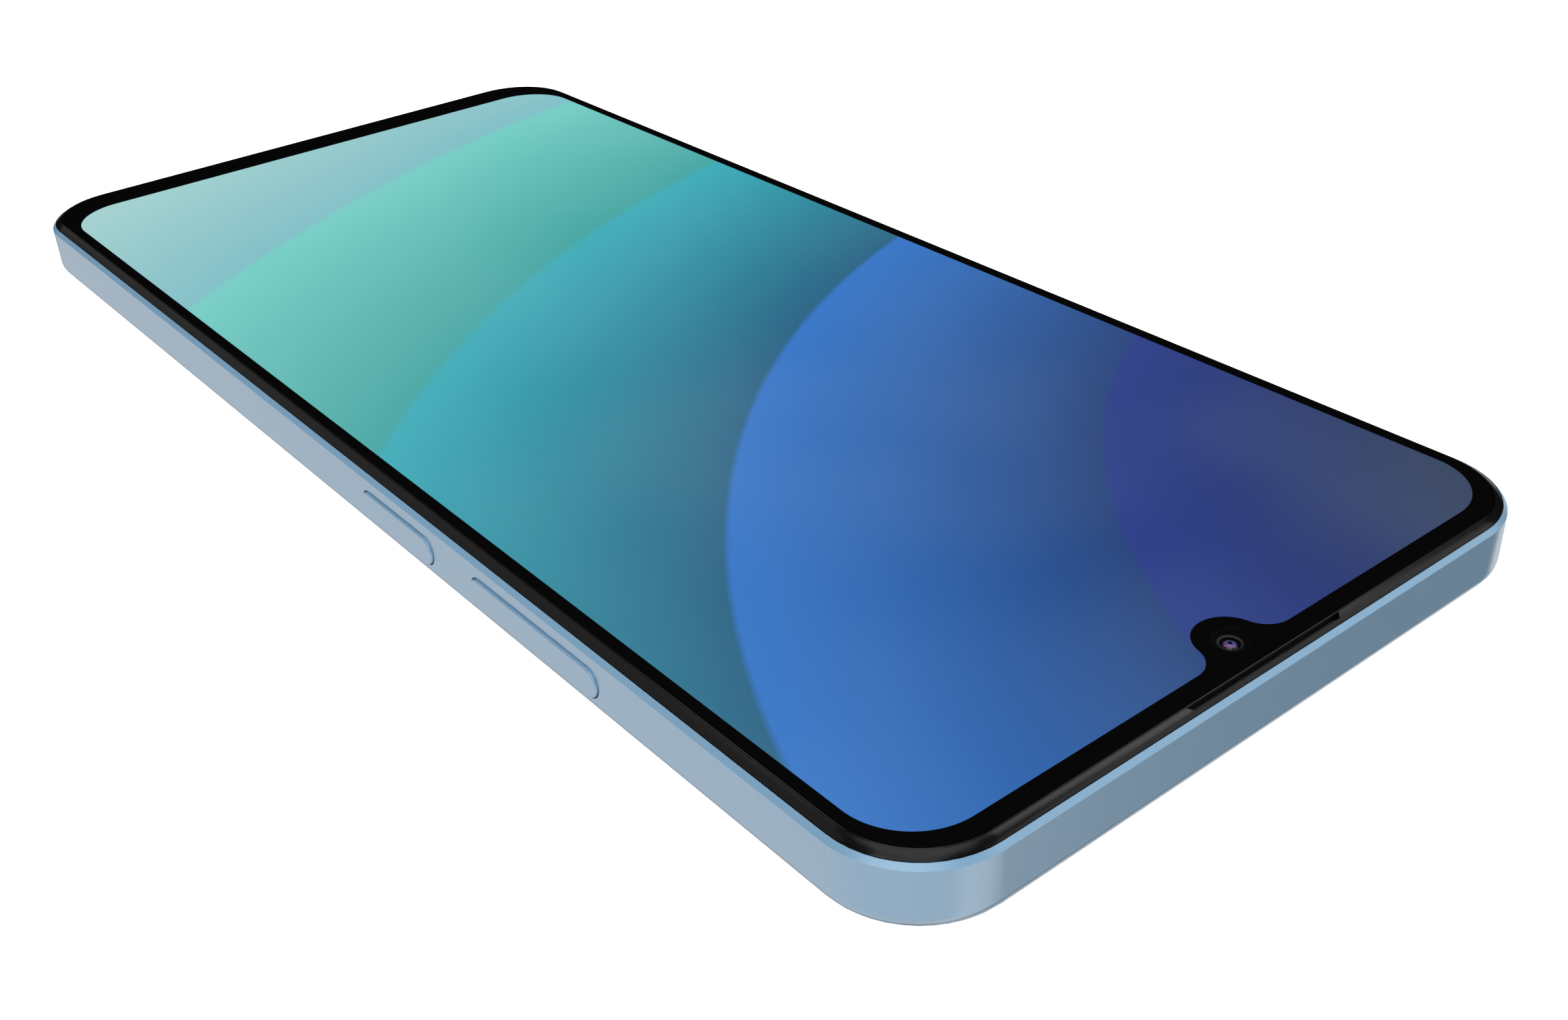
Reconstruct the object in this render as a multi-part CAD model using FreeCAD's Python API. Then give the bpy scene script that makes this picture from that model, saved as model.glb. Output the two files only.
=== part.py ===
"""A touchscreen smartphone in separate pieces: cover, screen stack, boards, battery, cameras and keys.

Millimetres. The phone lies on its back: +Z comes out of the screen, +Y points to the top end with
the front camera, and +X to the side with the keys. The origin is under the middle of the body, on
the plane of the rear camera rings, which are the lowest thing on it.
"""

import FreeCAD, Part
import math
import os

# ---- driving dimensions -------------------------------------------------------------------------

WIDTH = 76.7
LENGTH = 167.3
THICKNESS = 7.84
CORNER = 9.0
CAMERA_STAND = 1.0

BACK = CAMERA_STAND
FRONT = BACK + THICKNESS
HALF_X = WIDTH / 2
HALF_Y = LENGTH / 2

# the cover's back edge is a quarter ellipse, and its front edge a small slope down to the side
EDGE_RUN = 5.09
EDGE_RISE = 2.56
LIP_TOP = FRONT - 0.47
SLOPE_IN = 0.38
SLOPE_DROP = 0.43

# insets from the body's outline
LIP_INSET = 0.42
FLANGE_INSET = 0.50
FLANGE_RUN = 0.70
FLANGE_DROP = 0.46
FLANGE_BOW = 0.04
FLANGE_EDGE_RUN = 0.08
FLANGE_EDGE_RISE = 0.05
POCKET_INSET = 1.20
GLASS_INSET = 1.25
WALL = 1.30
INNER_RUN = EDGE_RUN - WALL
SKIRT_INSET = 1.40
STACK_POCKET_INSET = 1.90
STACK_INSET = 2.00
SKIRT_INNER_INSET = 2.60

# levels, counted down from the glass for the screen stack and up from the back for the rest
GLASS = 0.55
MASK = 0.05
CLEAR_GLUE = 0.10
PANEL = 0.60
LIGHT_UNIT = 0.70
TRAY_SHEET = 0.10
GLASS_LOW = FRONT - GLASS
MASK_LOW = GLASS_LOW - MASK
PANEL_HIGH = MASK_LOW - CLEAR_GLUE
PANEL_LOW = PANEL_HIGH - PANEL
LIGHT_LOW = PANEL_LOW - LIGHT_UNIT
TRAY_LOW = LIGHT_LOW - TRAY_SHEET
PLATE_HIGH = TRAY_LOW - 0.19
PLATE = 0.40
PLATE_LOW = PLATE_HIGH - PLATE
SHOULDER = LIP_TOP - 0.48
LEDGE = MASK_LOW - 0.24
SKIRT_LOW = BACK + 4.20
FLOOR = BACK + 0.80
INNER_RISE = BACK + EDGE_RISE - FLOOR
BRACKET_LOW = BACK + 0.87
BRACKET_HIGH = BACK + 1.45
BOARD_LOW = BACK + 2.85
BOARD_HIGH = BACK + 3.55
SUB_LOW = BACK + 1.72
SUB_HIGH = BACK + 2.42
BATTERY_LOW = BACK + 1.15
BATTERY_HIGH = PLATE_LOW - 0.12

# what lights up on the screen, and the drop-shaped notch in it round the front camera
SCREEN_HALF_X = 35.85
SCREEN_LOW_Y = -77.76
SCREEN_HIGH_Y = 80.46
SCREEN_CORNER = 6.50
FRONT_CAMERA_Y = 79.10
NOTCH_R = 3.10
NOTCH_FILLET = 2.60
CAMERA_HOLE_R = 1.05
STACK_NOTCH_R = 2.60
STACK_LOW_Y = -81.0
LIGHT_LOW_Y = -79.0

# keys on the +X side
KEY_Z = BACK + 4.25
KEY_HEIGHT = 2.90
KEY_PROUD = 0.25
KEY_GAP = 0.11
KEY_EDGE = 0.20
POWER_Y = 13.5
POWER_LENGTH = 13.3
VOLUME_Y = 36.9
VOLUME_LENGTH = 19.8
VOLUME_SWITCH_REACH = 6.0
SWITCH_X = 34.5
KEY_STRIP_X = 32.70
NUB_R = 0.55

# card tray on the -X side
CARD_Y = 38.5
CARD_Z = BACK + 4.30
CARD_FACE_LENGTH = 16.0
CARD_FACE_HEIGHT = 2.40
CARD_WIDTH = 14.0
CARD_DEEP = 41.0
CARD_THICK = 0.90
CARD_GAP = 0.10
CARD_END_X = -HALF_X + WALL + CARD_DEEP
CARD_POCKETS = [(8.8, 12.3), (8.8, 12.3), (15.0, 11.0)]
POCKET_SPACE = 1.3
CARD_RECESS = 0.67
CARD_LEDGE = 1.0
PIN_HOLE_R = 0.45
READER_SHEET = 0.20

# ports in the bottom end
USB_Z = BACK + 4.00
USB_WIDTH = 8.94
USB_HEIGHT = 3.16
USB_SHEET = 0.30
USB_DEEP = 7.35
USB_FRONT = -HALF_Y + 0.25
USB_END = USB_FRONT + USB_DEEP
USB_BACK_WALL = 0.8
JACK_X = -22.0
JACK_Z = BACK + 3.50
JACK_R = 1.75
JACK_DEEP = 14.0
JACK_END = -HALF_Y + WALL + JACK_DEEP + 0.05
JACK_HALF = 2.20
MIC_X = -10.5
MIC_HOLE_R = 0.50
MIC_FRONT = -80.8
SPEAKER_X = 18.0
SPEAKER_HOLES = 6
SPEAKER_PITCH = 2.2
SPEAKER_HOLE_R = 0.60
PORT_Z = BACK + 4.00
MIC_Z = PORT_Z - 0.6

MOTOR_AT = (-30.3, -75.2)
MOTOR_R = 4.4

# slot for the earpiece between the glass and the rim
EARPIECE_HALF = 9.30
EARPIECE_OUT = 0.42
EARPIECE_FLOOR = FRONT - 0.65

# rear cameras and flash
CAMERA_X = 25.5
MAIN_CAMERA_Y = 68.5
DEPTH_CAMERA_Y = 47.5
RING_R = 7.50
RING_NECK_R = 6.60
WINDOW_R = 5.20
RING_BORE_R = 4.40
FLASH_X = 10.5
FLASH_Y = 68.5
FLASH_R = 2.70
BARREL_WALL = 0.9
FRONT_BARREL_R = 1.9
FRONT_LENS_R = 0.75
LENS_SEAT = BACK + 0.90

UPPER_SCREWS = [(-32.3, 76.0), (-32.0, 51.0), (9.5, 57.5), (28.5, 36.0)]
LOWER_SCREWS = [(-29.0, -64.8), (-14.5, -72.5), (7.2, -76.5), (31.0, -57.0)]
SHANK_R = 0.70
SCREW_HEAD_R = 1.30
SCREW_HEAD = 0.45
BOSS_R = 1.80
DRIVE_SLOT = 0.28

# the boards' and the battery's limits
BOARD_LEFT = -35.0
BOARD_RIGHT = 32.3
BATTERY_X = (-34.3, 32.0)
BATTERY_Y = (-55.0, 27.0)

TOUCH = 0.02  # the air left between two pieces that meet without being one


# ---- shapes -------------------------------------------------------------------------------------


def box(x, y, z):
    """A block between three pairs of limits."""
    return Part.makeBox(x[1] - x[0], y[1] - y[0], z[1] - z[0], FreeCAD.Vector(x[0], y[0], z[0]))


def disc(radius, x, y, z):
    """A cylinder along Z between the two levels in z."""
    return Part.makeCylinder(radius, z[1] - z[0], FreeCAD.Vector(x, y, z[0]))


def rod_x(radius, x, y, z):
    """A cylinder along X between the two limits in x."""
    return Part.makeCylinder(radius, x[1] - x[0], FreeCAD.Vector(x[0], y, z), FreeCAD.Vector(1, 0, 0))


def rod_y(radius, x, y, z):
    """A cylinder along Y between the two limits in y."""
    return Part.makeCylinder(radius, y[1] - y[0], FreeCAD.Vector(x, y[0], z), FreeCAD.Vector(0, 1, 0))


def arc(start, middle, end):
    return Part.Arc(start, middle, end).toShape()


def line(start, end):
    return Part.LineSegment(start, end).toShape()


def rounded(half_x, half_y, corner, z, centre_y=0.0):
    """A plate with rounded corners between the two levels in z."""
    flat_x = half_x - corner
    flat_y = half_y - corner
    edges = []
    last = None
    first = None
    for turn in range(4):
        angle = math.radians(90 * turn)
        cx = flat_x if turn in (0, 3) else -flat_x
        cy = centre_y + (flat_y if turn in (0, 1) else -flat_y)
        points = []
        for part in (0, 45, 90):
            a = angle + math.radians(part)
            points.append(FreeCAD.Vector(cx + corner * math.cos(a), cy + corner * math.sin(a), z[0]))
        if last is not None:
            edges.append(line(last, points[0]))
        first = first or points[0]
        edges.append(arc(*points))
        last = points[2]
    edges.append(line(last, first))
    return Part.Face(Part.Wire(edges)).extrude(FreeCAD.Vector(0, 0, z[1] - z[0]))


def outline(inset, z):
    """A plate that follows the body's outline, an even distance inside it."""
    return rounded(HALF_X - inset, HALF_Y - inset, CORNER - inset, z)


def stadium(axis, length, height, reach, centre):
    """A bar with round ends along Y (axis X) or X (axis Y), between the two limits in reach."""
    radius = height / 2
    half = length / 2 - radius

    def at(u, v):
        if axis == "X":
            return FreeCAD.Vector(reach[0], centre[0] + u, centre[1] + v)
        return FreeCAD.Vector(centre[0] + u, reach[0], centre[1] + v)

    edges = [
        line(at(-half, -radius), at(half, -radius)),
        arc(at(half, -radius), at(half + radius, 0), at(half, radius)),
        line(at(half, radius), at(-half, radius)),
        arc(at(-half, radius), at(-half - radius, 0), at(-half, -radius)),
    ]
    deep = reach[1] - reach[0]
    along = FreeCAD.Vector(deep, 0, 0) if axis == "X" else FreeCAD.Vector(0, deep, 0)
    return Part.Face(Part.Wire(edges)).extrude(along)


def half_section(reach, low, high, run, rise, lean, drop, bow):
    """Half of a slab's cross-section, from its middle out to a wall at x = reach."""
    centre = FreeCAD.Vector(reach - run, 0, low + rise)
    side = FreeCAD.Vector(reach, 0, low + rise)
    crown = FreeCAD.Vector(reach - run, 0, low + 2 * rise)
    sweep = Part.ArcOfEllipse(Part.Ellipse(side, crown, centre), -math.pi / 2, 0)
    corners = [
        FreeCAD.Vector(reach, 0, high - drop),
        FreeCAD.Vector(reach - lean, 0, high),
        FreeCAD.Vector(0, 0, high),
        FreeCAD.Vector(0, 0, low),
        FreeCAD.Vector(reach - run, 0, low),
    ]
    edges = [sweep.toShape(), line(side, corners[0])]
    if bow:
        outward = FreeCAD.Vector(drop, 0, lean).normalize()
        corners.insert(1, (corners[0] + corners[1]) / 2 + outward * bow)
    for start, end in zip(corners, corners[1:]):
        if (end - start).Length > 1e-6:
            edges.append(line(start, end))
    return Part.Face(Part.Wire(Part.__sortEdges__(edges)))


def soft_slab(inset, low, high, run, rise, lean=0.0, drop=0.0, bow=0.0):
    """A slab on the body's outline: its lower edge is a quarter ellipse, and its upper edge a slope, which
    a bow breaks into two facets."""
    reach_x = HALF_X - inset
    reach_y = HALF_Y - inset
    corner = CORNER - inset
    flat_x = reach_x - corner
    flat_y = reach_y - corner
    up = FreeCAD.Vector(0, 0, 1)
    middle = FreeCAD.Vector(0, 0, 0)
    pieces = []
    along_y = half_section(reach_x, low, high, run, rise, lean, drop, bow)
    along_y.translate(FreeCAD.Vector(0, -flat_y, 0))
    along_y = along_y.extrude(FreeCAD.Vector(0, 2 * flat_y, 0))
    along_x = half_section(reach_y, low, high, run, rise, lean, drop, bow)
    along_x.translate(FreeCAD.Vector(0, -flat_x, 0))
    along_x = along_x.extrude(FreeCAD.Vector(0, 2 * flat_x, 0))
    bend = half_section(corner, low, high, run, rise, lean, drop, bow).revolve(middle, up, 90)
    for half_turn in (0, 180):
        run_y = along_y.copy()
        run_y.rotate(middle, up, half_turn)
        run_x = along_x.copy()
        run_x.rotate(middle, up, 90 + half_turn)
        pieces += [run_y, run_x]
    for turn, x, y in ((0, 1, 1), (90, -1, 1), (180, -1, -1), (270, 1, -1)):
        knuckle = bend.copy()
        knuckle.rotate(middle, up, turn)
        knuckle.translate(FreeCAD.Vector(x * flat_x, y * flat_y, 0))
        pieces.append(knuckle)
    return pieces[0].fuse(pieces[1:]).removeSplitter()


def cut(shape, *tools):
    return shape.cut(list(tools)).removeSplitter()


def joined(*shapes):
    return shapes[0].fuse(list(shapes[1:])).removeSplitter()


def group(shapes):
    return Part.makeCompound(list(shapes))


def stack_notch(z, grow=0.0):
    """The round notch that the screen layers have for the front camera."""
    radius = STACK_NOTCH_R + grow
    mouth = box((-radius, radius), (FRONT_CAMERA_Y, HALF_Y), z)
    return joined(disc(radius, 0, FRONT_CAMERA_Y, z), mouth)


def stack_layer(inset, low_y, z):
    """A screen layer: the pocket's outline, cut straight near the bottom end and notched at the top."""
    layer = outline(inset, z)
    below = box((-HALF_X, HALF_X), (-HALF_Y, low_y), z)
    return cut(layer, below, stack_notch(z))


def inner_room(clearance=0.08):
    """The space inside the rear cover, less a little air."""
    return soft_slab(WALL + clearance, FLOOR + 0.05, PLATE_LOW, INNER_RUN, INNER_RISE)


# ---- outside ------------------------------------------------------------------------------------


def key_slot(y, length):
    grown = 2 * KEY_GAP
    return stadium("X", length + grown, KEY_HEIGHT + grown, (HALF_X - 3, HALF_X + 1), (y, KEY_Z))


def speaker_holes():
    holes = []
    for i in range(SPEAKER_HOLES):
        x = SPEAKER_X + (i - (SPEAKER_HOLES - 1) / 2) * SPEAKER_PITCH
        holes.append(rod_y(SPEAKER_HOLE_R, x, (-HALF_Y - 1, -HALF_Y + WALL + 1), PORT_Z))
    return holes


def rear_cover():
    shell = soft_slab(0, BACK, LIP_TOP, EDGE_RUN, EDGE_RISE, SLOPE_IN, SLOPE_DROP)
    hollow = soft_slab(WALL, FLOOR, LIP_TOP + 1, INNER_RUN, INNER_RISE)
    rebate = outline(LIP_INSET, (SHOULDER, LIP_TOP + 1))
    end_wall = (-HALF_Y - 1, -HALF_Y + 3)
    side_wall = (-HALF_X - 1, -HALF_X + 3)
    usb_mouth = stadium("Y", USB_WIDTH + 0.2, USB_HEIGHT + 0.2, end_wall, (0, USB_Z))
    jack_mouth = rod_y(JACK_R + 0.2, JACK_X, end_wall, JACK_Z)
    mic_mouth = rod_y(MIC_HOLE_R, MIC_X, end_wall, MIC_Z)
    card_length = CARD_FACE_LENGTH + 2 * CARD_GAP
    card_height = CARD_FACE_HEIGHT + 2 * CARD_GAP
    card_mouth = stadium("X", card_length, card_height, side_wall, (CARD_Y, CARD_Z))
    through = (BACK - 1, FLOOR + 1)
    openings = [rebate, usb_mouth, jack_mouth, mic_mouth, card_mouth]
    openings += speaker_holes()
    openings += [key_slot(POWER_Y, POWER_LENGTH), key_slot(VOLUME_Y, VOLUME_LENGTH)]
    openings += [disc(RING_NECK_R + 0.05, CAMERA_X, y, through) for y in (MAIN_CAMERA_Y, DEPTH_CAMERA_Y)]
    openings.append(disc(FLASH_R + 0.05, FLASH_X, FLASH_Y, through))
    return cut(shell, hollow, *openings)


def earpiece_slot():
    """The narrow slot with slanted ends that lets sound out past the glass."""
    y = HALF_Y - POCKET_INSET
    half = EARPIECE_HALF
    inner = half - EARPIECE_OUT
    corners = [(half, y - 1), (half, y), (inner, y + EARPIECE_OUT), (-inner, y + EARPIECE_OUT)]
    corners += [(-half, y), (-half, y - 1), (half, y - 1)]
    ring = Part.makePolygon([FreeCAD.Vector(u, v, EARPIECE_FLOOR) for u, v in corners])
    return Part.Face(ring).extrude(FreeCAD.Vector(0, 0, 2))


def front_bezel():
    """The dark rim round the glass and the skirt below it, which carries the screen and the plate."""
    low = SHOULDER + TOUCH
    slope = (FLANGE_RUN, FLANGE_DROP, FLANGE_BOW)
    flange = soft_slab(FLANGE_INSET, low, FRONT, FLANGE_EDGE_RUN, FLANGE_EDGE_RISE, *slope)
    body = joined(flange, outline(SKIRT_INSET, (SKIRT_LOW, low)))
    glass_pocket = outline(POCKET_INSET, (LEDGE, FRONT + 1))
    stack_pocket = outline(STACK_POCKET_INSET, (PLATE_LOW, FRONT + 1))
    middle = outline(SKIRT_INNER_INSET, (SKIRT_LOW - 1, FRONT + 1))
    end = (-HALF_Y, -HALF_Y + 3)
    side = (HALF_X - 3, HALF_X - WALL)
    low_z = SKIRT_LOW - 1
    rooms = [
        box(side, (POWER_Y - 9, VOLUME_Y + 12), (low_z, KEY_Z + KEY_HEIGHT / 2 + 0.1)),
        box((-HALF_X, -HALF_X + 3), (CARD_Y - 8.4, CARD_Y + 8.4), (low_z, CARD_Z + 1.35)),
        box((-4.9, 4.9), end, (low_z, USB_Z + USB_HEIGHT / 2 + 0.1)),
        box((JACK_X - 2.9, JACK_X + 2.9), end, (low_z, JACK_Z + JACK_HALF + 0.05)),
        box((SPEAKER_X - 7, SPEAKER_X + 7), end, (low_z, PLATE_LOW - 0.1)),
        box((MIC_X - 1.1, MIC_X + 1.1), end, (low_z, PORT_Z + 0.5)),
    ]
    return cut(body, glass_pocket, stack_pocket, middle, earpiece_slot(), *rooms)


def cover_glass():
    """The front glass, with a fine bevel round its upper edge."""
    bevel = 0.10
    plate = outline(GLASS_INSET, (GLASS_LOW, FRONT))
    rim = [e for e in plate.Edges if e.BoundBox.ZMin > FRONT - 1e-6]
    return plate.makeChamfer(bevel, rim)


def screen_window(z):
    """The lit area with rounded corners and the drop-shaped notch, as a plate."""
    half_y = (SCREEN_HIGH_Y - SCREEN_LOW_Y) / 2
    window = rounded(SCREEN_HALF_X, half_y, SCREEN_CORNER, z, (SCREEN_HIGH_Y + SCREEN_LOW_Y) / 2)
    reach = NOTCH_R + NOTCH_FILLET
    fillet_y = SCREEN_HIGH_Y - NOTCH_FILLET
    fillet_x = math.sqrt(reach**2 - (FRONT_CAMERA_Y - fillet_y) ** 2)
    lean = math.atan2(fillet_y - FRONT_CAMERA_Y, fillet_x)
    touch_x = NOTCH_R * math.cos(lean)
    touch_y = FRONT_CAMERA_Y + NOTCH_R * math.sin(lean)
    touch = [FreeCAD.Vector(s * touch_x, touch_y, z[0]) for s in (1, -1)]
    edges = [arc(touch[0], FreeCAD.Vector(0, FRONT_CAMERA_Y - NOTCH_R, z[0]), touch[1])]
    middle_angle = (math.pi / 2 + lean + math.pi) / 2
    for s, start in ((1, touch[0]), (-1, touch[1])):
        bulge = FreeCAD.Vector(
            s * (fillet_x + NOTCH_FILLET * math.cos(middle_angle)),
            fillet_y + NOTCH_FILLET * math.sin(middle_angle),
            z[0],
        )
        top = FreeCAD.Vector(s * fillet_x, SCREEN_HIGH_Y, z[0])
        edges.append(arc(start, bulge, top))
        edges.append(line(top, FreeCAD.Vector(s * fillet_x, SCREEN_HIGH_Y + 1, z[0])))
    closing_y = SCREEN_HIGH_Y + 1
    ends = [FreeCAD.Vector(s * fillet_x, closing_y, z[0]) for s in (1, -1)]
    edges.append(line(*ends))
    drop = Part.Face(Part.Wire(Part.__sortEdges__(edges))).extrude(FreeCAD.Vector(0, 0, z[1] - z[0]))
    return cut(window, drop)


def border_mask():
    """The black ink on the back of the glass."""
    z = (MASK_LOW, GLASS_LOW)
    hole = disc(CAMERA_HOLE_R, 0, FRONT_CAMERA_Y, (z[0] - 1, z[1] + 1))
    return cut(outline(GLASS_INSET + 0.1, z), screen_window(z), hole)


def clear_glue():
    """The clear glue between glass and panel, which also fills the window in the ink."""
    lower = stack_layer(STACK_INSET, STACK_LOW_Y, (PANEL_HIGH, MASK_LOW))
    return joined(lower, screen_window((MASK_LOW, GLASS_LOW)))


def display_panel():
    return stack_layer(STACK_INSET, STACK_LOW_Y, (PANEL_LOW, PANEL_HIGH))


def backlight_unit():
    return stack_layer(STACK_INSET + 0.15, LIGHT_LOW_Y, (LIGHT_LOW, PANEL_LOW))


def backlight_tray():
    sheet = stack_layer(STACK_INSET, LIGHT_LOW_Y - 0.15, (TRAY_LOW, PANEL_LOW))
    return cut(sheet, outline(STACK_INSET + 0.13, (LIGHT_LOW, PANEL_LOW + 1)))


def display_tape():
    z = (LEDGE, MASK_LOW)
    return cut(outline(POCKET_INSET + 0.15, z), outline(STACK_POCKET_INSET, z))


def display_flex():
    """The strip from the panel's bottom edge, folded behind the screen and down to the sub board."""
    film = 0.12
    fold_y = STACK_LOW_Y + 0.5
    end_y = -65.5
    back_z = PLATE_HIGH + 0.03
    tail = box((-19, 19), (fold_y - film, fold_y), (back_z, PANEL_LOW))
    back = box((-19, 7), (fold_y, -70), (back_z, back_z + film))
    neck = box((-7, 7), (-70, end_y), (back_z, back_z + film))
    drop = box((-7, 7), (end_y, end_y + film), (SUB_HIGH + 0.8, back_z + film))
    plug = box((-7.5, 7.5), (end_y - 1.6, end_y + 1.2), (SUB_HIGH, SUB_HIGH + 0.8))
    return joined(tail, back, neck, drop, plug)


# ---- frame and battery --------------------------------------------------------------------------


def screw_holes(places, z, radius):
    return [disc(radius, x, y, z) for x, y in places]


def midframe_plate():
    """The metal plate between screen and boards, with the threaded bosses for the screws."""
    z = (PLATE_LOW, PLATE_HIGH)
    plate = outline(STACK_POCKET_INSET + 0.02, z)
    openings = [
        stack_notch(z, grow=0.2),
        box((-5.3, 5.3), (-HALF_Y, USB_END + 0.95), z),
        box((JACK_X - 3.2, JACK_X + 3.2), (-HALF_Y, JACK_END + 1.1), z),
        box((-8, 8), (-66.4, -64.6), z),
        box((KEY_STRIP_X - 0.3, HALF_X), (POWER_Y - 10, VOLUME_Y + 13), z),
    ]
    plate = cut(plate, *openings)
    upper = [disc(BOSS_R, x, y, (BOARD_HIGH, PLATE_LOW)) for x, y in UPPER_SCREWS]
    lower = [disc(BOSS_R, x, y, (SUB_HIGH, PLATE_LOW)) for x, y in LOWER_SCREWS]
    drilled = screw_holes(UPPER_SCREWS + LOWER_SCREWS, (SUB_HIGH - 1, PLATE_LOW + 0.1), SHANK_R + TOUCH)
    return cut(joined(plate, *upper, *lower), *drilled)


def graphite_sheet():
    sheet = 0.08
    return rounded(33.0, 55.0, 3.0, (PLATE_HIGH, PLATE_HIGH + sheet), 14.0)


def battery_cell():
    """A pouch cell with its two long edges rounded."""
    cell = box(BATTERY_X, BATTERY_Y, (BATTERY_LOW, BATTERY_HIGH))
    long_edges = [e for e in cell.Edges if e.BoundBox.YLength > 10]
    return cell.makeFillet(1.2, long_edges)


def battery_adhesive():
    z = (BATTERY_HIGH, PLATE_LOW)
    return group(box((x - 10, x + 10), (-48, 20), z) for x in (-17, 15))


def battery_flex():
    """The safety board across the cell's end and the strip to its plug on the main board."""
    film = 0.2
    end = BATTERY_Y[1]
    card = box((-20, 20), (end + TOUCH, end + 1.2), (BACK + 2.0, BACK + 4.6))
    strip = box((8, 16), (end + 1.2, end + 2.6), (BACK + 2.2, BACK + 2.2 + film))
    plug = box((7, 17), (end + 2.6, end + 5.6), (BACK + 1.9, BOARD_LOW))
    return joined(card, strip, plug)


# ---- boards -------------------------------------------------------------------------------------


def upper_outline(z, low_y, inset=0.0):
    """The main board's L shape, which leaves room for the cameras and the earpiece."""
    left = BOARD_LEFT + inset
    foot = box((left, BOARD_RIGHT - inset), (low_y, 40 - inset), z)
    middle = box((left, 16.5 - inset), (low_y, 72.5 - inset), z)
    head = box((left, -9 - inset), (70, 79.5 - inset), z)
    return joined(foot, middle, head)


def main_board(room):
    board = upper_outline((BOARD_LOW, BOARD_HIGH), 29.5)
    holes = screw_holes(UPPER_SCREWS, (BOARD_LOW - 1, BOARD_HIGH + 1), SHANK_R + 0.15)
    return cut(board, *holes).common(room)


def shield(x, y, low, high, open_at):
    """A pressed metal can with a thin wall, open towards its board."""
    sheet = 0.2
    can = box(x, y, (low, high))
    inside_z = (low - 1, high - sheet) if open_at == "low" else (low + sheet, high + 1)
    inside = box((x[0] + sheet, x[1] - sheet), (y[0] + sheet, y[1] - sheet), inside_z)
    return cut(can, inside)


def sub_board(room):
    """The bottom end's board, an L shape that leaves its corner to the jack and the motor."""
    board = box((-34, 9.4), (-81.5, -62), (SUB_LOW, SUB_HIGH))
    through = (SUB_LOW - 1, SUB_HIGH + 1)
    corner_room = box((-HALF_X, JACK_X + 3.1), (-HALF_Y, JACK_END + 1), through)
    lead_room = box((-36, -31.9), (-64.1, -61), through)
    holes = screw_holes(LOWER_SCREWS, through, SHANK_R + 0.15)
    return cut(board, corner_room, lead_room, *holes).common(room)


def upper_bracket(room):
    """The plastic cover over the main board, which stands on posts round the screws."""
    plate = upper_outline((BRACKET_LOW, BRACKET_HIGH), 34.5, inset=0.5)
    posts = [disc(BOSS_R, x, y, (BRACKET_LOW, BOARD_LOW)) for x, y in UPPER_SCREWS]
    body = joined(plate, *posts)
    holes = screw_holes(UPPER_SCREWS, (BRACKET_LOW - 1, BOARD_LOW + 1), SHANK_R + 0.1)
    seats = screw_holes(UPPER_SCREWS, (BRACKET_LOW - 1, BRACKET_LOW + SCREW_HEAD), SCREW_HEAD_R + 0.1)
    flash = disc(FLASH_R + 0.4, FLASH_X, FLASH_Y, (BRACKET_LOW - 1, BRACKET_HIGH + 1))
    return cut(body, flash, *holes, *seats).common(room)


def lower_bracket(room):
    plate = box((-33.5, 33.8), (-79.0, -55.6), (BRACKET_LOW, BRACKET_HIGH))
    posts = [disc(BOSS_R, x, y, (BRACKET_LOW, SUB_LOW)) for x, y in LOWER_SCREWS[:3]]
    x, y = LOWER_SCREWS[3]
    posts.append(disc(BOSS_R, x, y, (BRACKET_LOW, SUB_HIGH)))
    body = joined(plate, *posts)
    holes = screw_holes(LOWER_SCREWS, (BRACKET_LOW - 1, SUB_HIGH + 1), SHANK_R + 0.1)
    seats = screw_holes(LOWER_SCREWS, (BRACKET_LOW - 1, BRACKET_LOW + SCREW_HEAD), SCREW_HEAD_R + 0.1)
    flex = box((-15, -1), (-67.5, -50), (BRACKET_LOW - 1, BRACKET_HIGH + 1))
    jack_z = (JACK_Z - JACK_HALF - 0.05, BRACKET_HIGH + 1)
    jack = box((JACK_X - 2.6, JACK_X + 2.6), (-HALF_Y, JACK_END + 0.4), jack_z)
    return cut(body, flex, jack, *holes, *seats).common(room)


def bracket_screws():
    screws = []
    for x, y in UPPER_SCREWS + LOWER_SCREWS:
        head = disc(SCREW_HEAD_R, x, y, (BRACKET_LOW + 0.05, BRACKET_LOW + SCREW_HEAD))
        shank = disc(SHANK_R, x, y, (BRACKET_LOW + SCREW_HEAD, PLATE_LOW - 0.1))
        cross = [
            box((x - 0.6, x + 0.6), (y - 0.12, y + 0.12), (BRACKET_LOW, BRACKET_LOW + DRIVE_SLOT)),
            box((x - 0.12, x + 0.12), (y - 0.6, y + 0.6), (BRACKET_LOW, BRACKET_LOW + DRIVE_SLOT)),
        ]
        screws.append(cut(joined(head, shank), *cross))
    return group(screws)


def board_link_flex():
    """The long strip over the battery's back, with a plug at each end."""
    film = 0.10
    x = (-14, -2)
    run_z = BACK + 0.93
    upper_y = 28.4
    lower_y = -57.0
    run = box(x, (lower_y, upper_y), (run_z, run_z + film))
    upper_drop = box(x, (upper_y, upper_y + film), (run_z, BACK + 2.0))
    upper_run = box(x, (upper_y + film, 30.2), (BACK + 1.9, BACK + 2.0))
    upper_plug = box((x[0] - 1, x[1] + 1), (30.2, 33.0), (BACK + 1.9, BOARD_LOW))
    lower_run = box(x, (-63.0, lower_y), (run_z, run_z + film))
    lower_plug = box((x[0], x[1]), (-65.8, -63.0), (run_z, SUB_LOW))
    return joined(run, upper_drop, upper_run, upper_plug, lower_run, lower_plug)


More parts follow.
